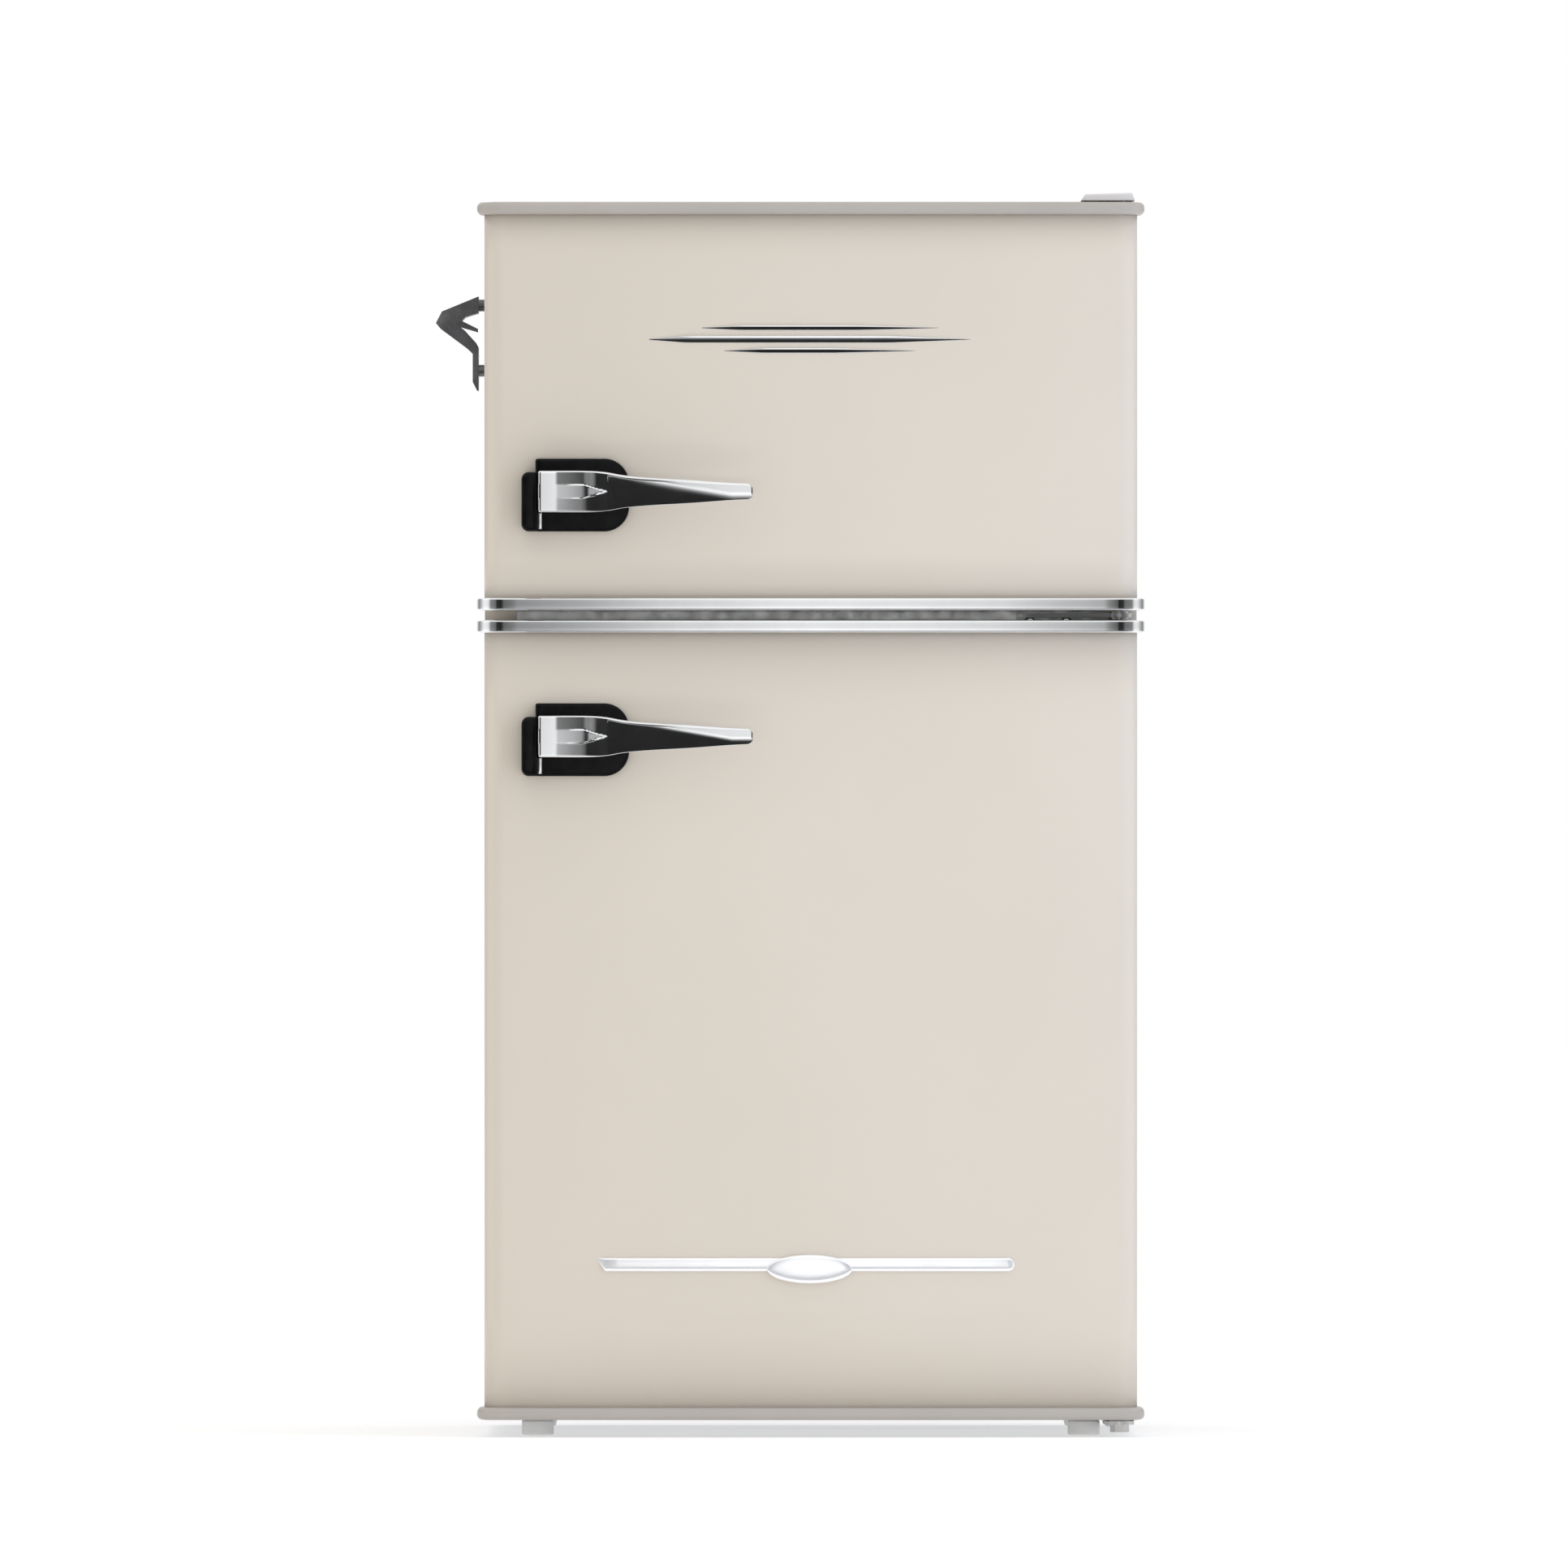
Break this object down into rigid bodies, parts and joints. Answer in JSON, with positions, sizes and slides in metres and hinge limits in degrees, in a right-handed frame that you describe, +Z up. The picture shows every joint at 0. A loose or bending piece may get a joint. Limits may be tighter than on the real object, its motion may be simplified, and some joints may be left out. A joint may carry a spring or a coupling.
{
  "type": "mini fridge",
  "caption": "Two-door compact retro refrigerator with a top freezer, latch-style handles, chrome trim and a side bottle opener.",
  "frame": {"origin": "on the floor, midway between the cabinet's sides and between its front and back", "axes": "+X towards the hinged side, which is on the right of a person facing the doors; the doors face -Y; +Z up"},
  "size_m": [0.4853, 0.5255, 0.85],
  "materials": {
    "cream_enamel": "gloss powder coat",
    "cream_plastic": "gloss moulded plastic, painted to match",
    "chrome_trim": "bright chrome plate",
    "silver_trim": "pale silver plate",
    "dark_chrome": "black chrome plate",
    "black_plastic": "gloss black moulding",
    "white_liner": "vacuum-formed white polystyrene",
    "clear_plastic": "clear moulded polystyrene",
    "shelf_glass": "tempered glass",
    "white_plastic": "white moulded plastic",
    "gasket_rubber": "soft grey-white vinyl",
    "foam": "rigid polyurethane foam",
    "galvanised": "galvanised sheet",
    "black_enamel": "semi-gloss black paint",
    "plate_aluminium": "roll-bonded aluminium",
    "copper": "drawn copper tube",
    "zinc_steel": "zinc-plated steel",
    "grey_plastic": "pale grey moulded plastic",
    "dark_plastic": "black moulded plastic",
    "black_rubber": "moulded rubber",
    "screw_steel": "nickel-plated screws"
  },
  "bodies": {
    "cabinet": {"cabinet_shell": "cream_enamel", "back_panel": "galvanised", "base_pan": "galvanised", "cabinet_foam": "foam", "freezer_liner": "white_liner", "fridge_liner": "white_liner", "centre_rail": "zinc_steel", "evaporator": "plate_aluminium", "condenser_coil": "black_enamel", "condenser_wires": "black_enamel", "condenser_clips": "white_plastic", "compressor": "black_enamel", "compressor_rail": "galvanised", "compressor_grommets": "black_rubber", "compressor_bolts": "screw_steel", "relay_cover": "dark_plastic", "cord_gland": "black_rubber", "suction_line": "copper", "discharge_line": "copper", "filter_drier": "copper", "drip_tray": "grey_plastic", "drain_tube": "white_plastic", "shelf_glass": "shelf_glass", "shelf_trim": "white_plastic", "crisper_cover": "shelf_glass", "thermostat_housing": "white_plastic", "top_hinge": "zinc_steel", "top_hinge_cover": "grey_plastic", "middle_hinge": "zinc_steel", "bottom_hinge": "zinc_steel", "cabinet_screws": "screw_steel", "rear_feet": "white_plastic", "bottle_opener": "dark_chrome"},
    "freezer_door": {"freezer_door_skin": "cream_enamel", "freezer_door_top_cap": "cream_plastic", "freezer_door_bottom_trim": "chrome_trim", "freezer_door_foam": "foam", "freezer_door_liner": "white_liner", "freezer_door_rack": "clear_plastic", "freezer_gasket": "gasket_rubber", "freezer_handle_base": "black_plastic", "freezer_handle_lever": "chrome_trim", "freezer_handle_screws": "screw_steel", "badge": "chrome_trim"},
    "fridge_door": {"fridge_door_skin": "cream_enamel", "fridge_door_top_trim": "chrome_trim", "fridge_door_bottom_cap": "cream_plastic", "fridge_door_foam": "foam", "fridge_door_liner": "white_liner", "fridge_door_bottle_rack": "clear_plastic", "fridge_door_upper_rack": "clear_plastic", "fridge_gasket": "gasket_rubber", "fridge_handle_base": "black_plastic", "fridge_handle_lever": "chrome_trim", "fridge_handle_screws": "screw_steel", "lower_trim": "silver_trim"},
    "crisper_drawer": {"crisper_drawer": "clear_plastic"},
    "thermostat_knob": {"thermostat_knob": "white_plastic"},
    "left_front_foot": {"front_foot_left": "white_plastic"},
    "right_front_foot": {"front_foot_right": "white_plastic"}
  },
  "joints": [
    {"name": "freezer_door_hinge", "type": "hinge", "parent": "cabinet", "child": "freezer_door", "pos_m": [0.211, -0.238, 0.7], "axis": [0, 0, 1], "range_deg": [0, 125]},
    {"name": "fridge_door_hinge", "type": "hinge", "parent": "cabinet", "child": "fridge_door", "pos_m": [0.211, -0.238, 0.285], "axis": [0, 0, 1], "range_deg": [0, 125]},
    {"name": "crisper_slide", "type": "slide", "parent": "cabinet", "child": "crisper_drawer", "axis": [0, -1, 0], "range_m": [0, 0.12]},
    {"name": "thermostat_turn", "type": "hinge", "parent": "cabinet", "child": "thermostat_knob", "pos_m": [0.113, -0.078, 0.514], "axis": [0, 1, 0], "range_deg": [0, 280]},
    {"name": "left_foot_thread", "type": "slide", "parent": "cabinet", "child": "left_front_foot", "axis": [0, 0, -1], "range_m": [0, 0.008]},
    {"name": "right_foot_thread", "type": "slide", "parent": "cabinet", "child": "right_front_foot", "axis": [0, 0, -1], "range_m": [0, 0.008]}
  ],
  "couplings": [
    {"joint": "crisper_slide", "follows": "fridge_door_hinge", "m_per_rad": 0.055}
  ]
}
